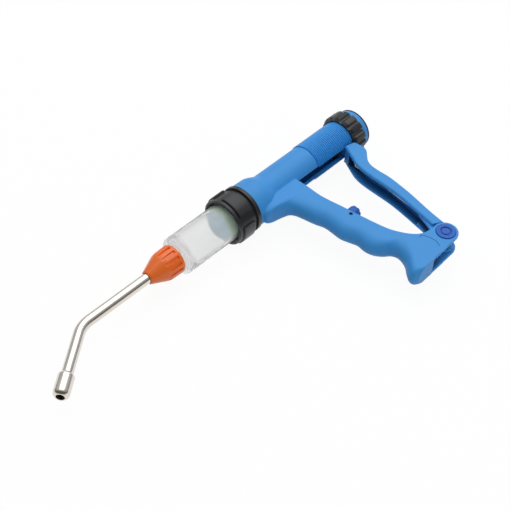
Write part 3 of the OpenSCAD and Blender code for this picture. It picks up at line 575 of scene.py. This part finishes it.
def nut_mesh():
    xs = [-19.5, -19.1, -16.9, -16.5, -16.49, -16.2, -15.8, -15, -6.6, -5.9, -5.5, -5.21, -5.2,
          -5.1, -4, -2.4, -1.61, -1.6, -1.3, 1.3, 1.6]
    pad_rise = {-16.49: 0, -16.2: 0.82, -15.8: 1, -5.9: 1, -5.5: 0.82, -5.21: 0}

    def outer(x):
        if x <= -16.5:
            return 17.4
        if x <= -5.2:
            return 17.0
        return 16.0 if x <= -1.61 else 17.7

    profile = [(x, outer(x)) for x in xs]
    profile += [(1.6, 16.98), (0, 16.98), (0, 15.3), (-16.5, 15.3), (-16.5, 14.0), (-17.4, 14.0),
                (-19.4, 16.0)]

    def reach(x, r, a):
        if r < 17 and x > -5.2 or r < 16.5:
            return r
        if x in (-19.5, -16.5, -1.6, 1.6):
            return r - 0.35
        if -16.49 <= x <= -5.21:
            side = abs((math.degrees(a) - PAD_PHASE - 45) % 90 - 45)
            pad = unit((PAD_HALF - side) / 0.8)
            return r + PAD_HEIGHT * pad * pad_rise.get(x, 1)
        return r

    return turned("nut", profile, 720, reach)


place("grip_nut", nut_mesh(), "housing", ["barrel_nut"], black)
soft_black = moulded("black rubber", (0.018, 0.018, 0.018), rough=0.65, mottle=0.1)
paint(soft_black, "barrel_gasket", "nozzle_seal")

# Nozzle nut
# An orange nylon cone with fourteen slots round its grip, screwed on the barrel's nose.
# It holds the nozzle's head against a rubber seal.
orange = moulded("orange nylon", (1.0, 0.18, 0.016), rough=0.28, specular=0.6, mottle=0.03)
SLOTS, SLOT_FLOOR, SLOT_WIDE, SLOT_PHASE = 14, 9.6, 5.6, 13.1


def cone_mesh():
    outside = [(-65.2, 9.7), (-65.3, 10.2), (-65.7, 10.55), (-66.4, 10.7), (-67.5, 10.68),
               (-67.8, 10.67)]
    outside += [(-68.2 - 0.5 * k, 10.66 - 0.015 * k) for k in range(14)]
    grip_end, corner = Vector((-75.2, 10.44)), Vector((-77.2, 10.35))
    cone_start = Vector((-79.2, 9.51))
    for u in [k / 10 for k in range(11)]:
        outside.append(tuple(grip_end * (1 - u) ** 2 + corner * 2 * u * (1 - u) + cone_start * u ** 2))
    outside += [(-79.2 - 11.1 * u, 9.51 - 4.66 * u) for u in [k / 12 for k in range(1, 13)]]
    outside += [(-90.5, 4.6)]
    profile = outside + [(-90.5, 4.0), (-80.25, 4.0), (-80.25, 7.6), (-65.2, 7.6)]

    def reach(x, r, a):
        if r < SLOT_FLOOR or x > -67.6:
            return r
        turn = (math.degrees(a) + SLOT_PHASE) % (360 / SLOTS) - 180 / SLOTS
        slot = unit((SLOT_WIDE - abs(turn)) / 0.8)
        return r - (r - SLOT_FLOOR) * slot

    return turned("cone", profile, 504, reach)


place("cone_nut", cone_mesh(), "housing", ["nozzle_nut"], orange)

# Outlet spring
# A small coil of steel wire in the barrel's nose that presses the outlet ball on its seat.
spring_wire = metal("spring steel", (0.62, 0.61, 0.58), 0.25, 0.06, scale=900)
COIL_R, COIL_WIRE_R, COIL_STEPS, STEPS_A_TURN = 2.5, 0.35, 160, 40
low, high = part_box("outlet_spring")
coil_from, coil_to = (low.x - FACE) * 1000 + COIL_WIRE_R, (high.x - FACE) * 1000 - COIL_WIRE_R
coil = [(coil_from + (coil_to - coil_from) * i / COIL_STEPS,
         COIL_R * math.cos(2 * math.pi * i / STEPS_A_TURN),
         COIL_R * math.sin(2 * math.pi * i / STEPS_A_TURN)) for i in range(COIL_STEPS + 1)]
valve_spring = place("valve_spring", wire_mesh("coil", coil, COIL_WIRE_R, 10), "housing",
                     ["outlet_spring"], spring_wire)
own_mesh(valve_spring)

# Nozzle
# A polished stainless tube with one bend, headed under the nut so that it swivels, and a thick
# turned tip with a rounded end pressed on it.
polished = metal("polished stainless", (0.76, 0.71, 0.64), 0.2, 0.04, (0.05, 1, 1), 700)
BEND_R, BEND, CORNER, LEG = 20, math.radians(36), -146.9, 54.7
TANGENT = BEND_R * math.tan(BEND / 2)
TUBE_OUT_R, TUBE_IN_R, HEAD_FACE = 3.8, 2.5, -78.2


def nozzle_path():
    """The tube's middle line, and where its bent leg starts and which way it runs."""
    centre = Vector((CORNER + TANGENT, -BEND_R, 0))
    path = [Vector((x, 0, 0)) for x in (HEAD_FACE, -100, -120, CORNER + TANGENT)]
    for k in range(1, 25):
        a = math.pi / 2 + BEND * k / 24
        path.append(centre + BEND_R * Vector((math.cos(a), math.sin(a), 0)))
    end = path[-1]
    ahead = Vector((-math.cos(BEND), -math.sin(BEND), 0))
    path += [end + ahead * d for d in (10, 20, LEG - TANGENT - 8)]
    return path, end, ahead


path, leg_start, leg_way = nozzle_path()


def nozzle_mesh():
    outside = wire_mesh("outside", path, TUBE_OUT_R, 48)
    inner = [path[0] + Vector((3, 0, 0))] + path + [path[-1] + leg_way * 3]
    head = turned("head", eased([(-80.2, 0), (-80.2, 6.5), (HEAD_FACE, 6.5), (HEAD_FACE, 0)], 0.3))
    return cut(cut(outside, [head], "UNION"), [wire_mesh("inside", inner, TUBE_IN_R, 32)])


place("bent_tube", nozzle_mesh(), "nozzle", ["nozzle_tube"], polished)


def tip_mesh():
    length = 17
    leg = LEG - TANGENT - length
    shape = eased([(0, 3.7), (0, 4.3), (-1.6, 5.4), (-14.0, 5.4), (-15.5, 5.0), (-16.6, 3.9),
                   (-length, 3.2), (-length, 2.8), (-9, 2.8), (-9, 3.7)], 0.5)
    mesh = turned("tip", shape, 72)
    mesh.transform(Matrix.Translation(leg_start + leg_way * leg) @ Matrix.Rotation(BEND, 4, "Z"))
    return mesh


place("nozzle_end", tip_mesh(), "nozzle", ["nozzle_tip"], polished)

# Lever
# A blue nylon channel, open to the handle, with a humped shoulder under the sleeve. Two ears
# inside the foot run on the pivot pin, and a tongue reaches through the slot to the spool.
LEVER_LENGTH, LEVER_HALF, LEVER_WALL, CHANNEL_HALF = 101.9, 7.7, 2.5, 5.2
LEVER_TURN = 9.4
LEVER_FRONT = [(0.05, -2), (0.22, 1.5), (0.48, 5.8), (0.75, 7.1), (0.84, 8.9), (0.91, 12.2), (1, 16.9)]
LEVER_BACK = [(0.05, 7.8), (0.2, 10.2), (0.4, 14.4), (0.6, 17.1), (0.7, 16.9), (0.77, 17.5), (0.82, 19.7),
              (0.86, 23.7), (0.893, 27.2), (0.927, 28.7), (0.967, 28.4), (1, 28.2), (1.03, 28.2)]


def lever_mesh():
    """The channel, cut clear of the foot and the sleeve's swing, with its ears and tongue."""
    px, py = PIVOT

    def outside(s):
        front, back = px + along(LEVER_FRONT, s), px + along(LEVER_BACK, s)
        half, r, rim = LEVER_HALF, 3.4, 2.1
        edge = [math.pi / 2 * k / 6 for k in range(7)]
        corner = [math.pi / 2 * k / 8 for k in range(9)]
        ring = [(front + rim - rim * math.cos(a), -half + rim - rim * math.sin(a)) for a in edge]
        ring += [(back - r + r * math.sin(a), -half + r - r * math.cos(a)) for a in corner]
        ring += [(back - r + r * math.cos(a), half - r + r * math.sin(a)) for a in corner]
        ring += [(front + rim - rim * math.sin(a), half - rim + rim * math.cos(a)) for a in edge]
        return [(x, py + s * LEVER_LENGTH, z) for x, z in ring]

    def channel(s):
        front, floor = px + along(LEVER_FRONT, s) - 2, px + along(LEVER_BACK, s) - LEVER_WALL
        half, y = CHANNEL_HALF, py + s * LEVER_LENGTH
        return [(front, y, -half), (floor, y, -half), (floor, y, half), (front, y, half)]

    shell = skin("outside", [outside(0.05 + 0.98 * i / 100) for i in range(101)])
    hollow = skin("channel", [channel(0.03 + 0.925 * i / 60) for i in range(61)])
    clear = block((-200, -200, -40), (0, LEVER_TURN, 40))
    lean = Matrix.Rotation(math.radians(-27.72), 4, "Z")
    clear.transform(Matrix.Translation((px, py, 0)) @ lean)
    shell = cut(shell, [hollow, rod((px, py, -20), (px, py, 20), LEVER_TURN, 96), clear])
    saddle = []
    for z in [-8 + k for k in range(17)]:
        reach = -py - math.sqrt(14.5 ** 2 - max(abs(z), 5.1) ** 2)
        saddle.append([(px + reach * math.cos(a), py + reach * math.sin(a), z) for a in
                       [2 * math.pi * k / 360 for k in range(360)]])
    shell = cut(shell, [skin("saddle", saddle)], "INTERSECT")
    ears, thick, ear_r, web_half, web_share, web_top = [], 2, 7.6, 7.2, 0.24, py + 24.5
    web_back = px + along(LEVER_BACK, web_share) - 1
    web_front = px + along(LEVER_FRONT, web_share) + 0.6
    for z in (-5.35, 3.35):
        ear = rod((px, py, z), (px, py, z + thick), ear_r, 64)
        web = skin("web", [[(px - web_half, py, h), (px + web_half, py, h), (web_back, web_top, h),
                            (web_front, web_top, h)] for h in (z, z + thick)])
        ears += [ear, web]
    tip_x, tip_y, tip_half = 99, -9.2, 4.5
    tongue = block((-1.8, -8.6, -tip_half), (1.8, 0, tip_half))
    lean = Matrix.Rotation(math.radians(-9.36), 4, "Z")
    tongue.transform(Matrix.Translation((tip_x, tip_y, 0)) @ lean)
    tip = rod((tip_x, tip_y, -tip_half), (tip_x, tip_y, tip_half), 2.6)
    shell = cut(shell, ears + [tongue, tip], "UNION")
    shell = cut(shell, [rod((px, py, -20), (px, py, 20), 2.55)])
    return worked(shell, ("REMESH", {"mode": "VOXEL", "voxel_size": 0.36}),
                  ("SMOOTH", {"factor": 0.5, "iterations": 3}))


place("lever_channel", lever_mesh(), "lever_arm", ["lever"], blue, sharp=50)

# Return spring
# Round spring wire: one leg held in the foot, two and a quarter turns round the pin, the other
# leg up the lever's channel with a hooked end.
SPRING_R, SPRING_WIRE_R, SPRING_DEGREES, SPRING_PITCH = 4.6, 0.7, 806, 1.9
SPRING_LEG, SPRING_LEAN = 88, math.radians(4)


def spring_mesh():
    px, py = PIVOT
    r, turn = SPRING_R, math.radians(SPRING_DEGREES)
    height = SPRING_PITCH * SPRING_DEGREES / 360
    points = [Vector((px - 29, py - r, -height / 2)), Vector((px - 14, py - r, -height / 2))]
    for i in range(73):
        a = math.radians(270) + turn * i / 72
        points.append(Vector((px + r * math.cos(a), py + r * math.sin(a),
                              -height / 2 + height * i / 72)))
    end = points[-1]
    wall = LEVER_HALF - LEVER_WALL - 2 * SPRING_WIRE_R
    for u in (0.1, 0.2, 0.3, 0.4, 0.5, 0.6, 0.7, 0.8, 0.9, 1.0):
        rise = unit((u - 0.35) / 0.25)
        points.append(Vector((end.x + SPRING_LEG * u * math.tan(SPRING_LEAN), end.y + SPRING_LEG * u,
                              end.z + (wall - end.z) * rise)))
    last = points[-1]
    points += [last + Vector((1.0, 1.1, 0)), last + Vector((2.4, 1.6, 0))]
    return wire_mesh("spring", points, SPRING_WIRE_R, 12)


return_spring = place("return_spring", spring_mesh(), None, ["torsion_spring"],
                      spring_wire)
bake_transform(return_spring)

# Pivot caps
# Dark blue nylon discs, each with a ring groove round a round dimple, pressed into the sides of
# the foot over both ends of the pivot pin.
deep_blue = moulded("deep blue nylon", (0.022, 0.135, 0.56), rough=0.42, specular=0.35)


def cap_mesh(side):
    profile = eased([(CAP_SEAT, 0), (CAP_SEAT, 6.9), (8.4, 6.9), (8.7, 6.6), (8.7, 4.0), (7.8, 3.8),
                     (7.8, 3.15), (8.5, 2.9), (8.5, 0)], 0.15)
    mesh = turned("cap", profile, 72)
    facing = Matrix.Rotation(math.radians(-90 * side), 4, "Y")
    mesh.transform(Matrix.Translation((PIVOT[0], PIVOT[1], 0)) @ facing)
    return mesh


place("pin_cap", cap_mesh(1), "housing", ["pivot_cap"], deep_blue)
place("pin_cap_far", cap_mesh(-1), "housing", ["pivot_cap_far"], deep_blue)

# Stop knob
# A small lobed knob of dark blue nylon on the stop screw behind the handle. It limits how far
# the lever closes; a blackened steel pin across the handle keeps the screw in.
LOBES, LOBE_DEPTH, KNOB_R = 6, 0.75, 5.1


def knob_mesh():
    low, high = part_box("stop_knob")
    a, b = (low.x - FACE) * 1000, (high.x - FACE) * 1000
    profile = eased([(a, 2.4), (a, 4.5), (a + 0.8, KNOB_R), (b - 3, KNOB_R), (b - 0.8, 4.3),
                     (b, 3.1), (b, 0), (b - 2, 0), (b - 2, 2.4)], 0.4)

    def reach(x, r, t):
        if r < 2.6:
            return r
        wave = 0.5 + 0.5 * math.cos(LOBES * t)
        return r - LOBE_DEPTH * (1 - wave) ** 1.5 * (r / KNOB_R)

    mesh = turned("knob", profile, 96, reach)
    mesh.transform(Matrix.Translation((0, SCREW_Y, 0)))
    return mesh


blackened = metal("blackened steel", (0.05, 0.06, 0.09), 0.5, 0.1)
paint(blackened, "knob_keeper")
place("lobed_knob", knob_mesh(), "stop_knob_body", ["stop_knob"], deep_blue)

# Studio
# A white floor that the gun lies on, a broad soft light overhead with a weak one from the side,
# a sky that is brightest above, and the camera where the photograph's stood.
floor_z = cad_box[0].z
FLOOR = 60
corners = [(-FLOOR, -FLOOR, floor_z), (FLOOR, -FLOOR, floor_z), (FLOOR, FLOOR, floor_z),
           (-FLOOR, FLOOR, floor_z)]
floor_mesh = mesh_of("floor", corners, [(0, 1, 2, 3)])
floor = bpy.data.objects.new("floor", floor_mesh)
bpy.context.scene.collection.objects.link(floor)
paper = bpy.data.materials.new("white paper")
paper.use_nodes = True
tree = paper.node_tree
tree.nodes.clear()
seen = add_node(tree, "LightPath").outputs
glossy = add_node(tree, "Math", {0: seen["Is Camera Ray"], 1: seen["Is Glossy Ray"]},
                  operation="MAXIMUM")
through = add_node(tree, "Math", {0: glossy.outputs["Value"], 1: seen["Is Transmission Ray"]},
                   operation="MAXIMUM")
share = add_node(tree, "Math", {0: through.outputs["Value"], 1: 0.9}, operation="MULTIPLY")
glow = add_node(tree, "Emission", {"Strength": 1.05})
sheet = add_node(tree, "BsdfDiffuse", {"Color": (0.62, 0.62, 0.62, 1)})
mix = add_node(tree, "MixShader", {"Fac": share.outputs["Value"], 1: sheet.outputs["BSDF"],
                                   2: glow.outputs["Emission"]})
add_node(tree, "OutputMaterial", {"Surface": mix.outputs["Shader"]})
floor_mesh.materials.append(paper)

world = bpy.data.worlds.new("studio")
world.use_nodes = True
sky = world.node_tree
way = add_node(sky, "TexCoord").outputs["Generated"]
facing = add_node(sky, "VectorMath", {0: way, 1: (0.44, 0.34, 0.83)}, operation="DOT_PRODUCT")
ramp = add_node(sky, "ValToRGB", {"Fac": facing.outputs["Value"]})
stops = ((0.0, (0.22, 0.195, 0.17)), (0.14, (0.31, 0.295, 0.28)), (0.40, (0.57, 0.57, 0.58)),
         (0.62, (0.92, 0.94, 0.97)), (1.0, (1.05, 1.05, 1.05)))
for i, (at, colour) in enumerate(stops):
    stop = ramp.color_ramp.elements[i] if i < 2 else ramp.color_ramp.elements.new(at)
    stop.position = at
    stop.color = (*colour, 1)
sky.links.new(ramp.outputs["Color"], sky.nodes["Background"].inputs["Color"])
sky.nodes["Background"].inputs["Strength"].default_value = 0.56
bpy.context.scene.world = world

GUN_MIDDLE = Vector((-0.12, -0.04, 0))
lamps = (("key", (0.34, 0.30, 1.25), 1.6, 11), ("fill", (-0.55, -1.15, 0.24), 0.9, 3))
for name, spot, size, power in lamps:
    light = bpy.data.lights.new(name, "AREA")
    light.size = size
    light.energy = power
    lamp = bpy.data.objects.new(name, light)
    bpy.context.scene.collection.objects.link(lamp)
    lamp.location = spot
    lamp.visible_glossy = name == "key"
    lamp.rotation_euler = (GUN_MIDDLE - Vector(spot)).to_track_quat("-Z", "Y").to_euler()

az, el, roll = math.radians(-49.39), math.radians(47.53), math.radians(3.24)
back = Vector((math.sin(az) * math.cos(el), -math.cos(az) * math.cos(el), math.sin(el)))
right = Vector((math.cos(az), math.sin(az), 0))
up = back.cross(right)
right, up = right * math.cos(roll) + up * math.sin(roll), up * math.cos(roll) - right * math.sin(roll)
SENSOR, FOCAL_PIXELS, PICTURE_PIXELS = 36, 1100, 510
camera_data = bpy.data.cameras.new("camera")
camera_data.sensor_width = SENSOR
camera_data.lens = SENSOR * FOCAL_PIXELS / PICTURE_PIXELS
camera = bpy.data.objects.new("camera", camera_data)
bpy.context.scene.collection.objects.link(camera)
stand = Matrix.Translation((-0.5271, -0.3597, 0.5434))
camera.matrix_world = stand @ Matrix((right, up, back)).transposed().to_4x4()
bpy.context.scene.camera = camera
bpy.context.scene.view_settings.view_transform = "Standard"
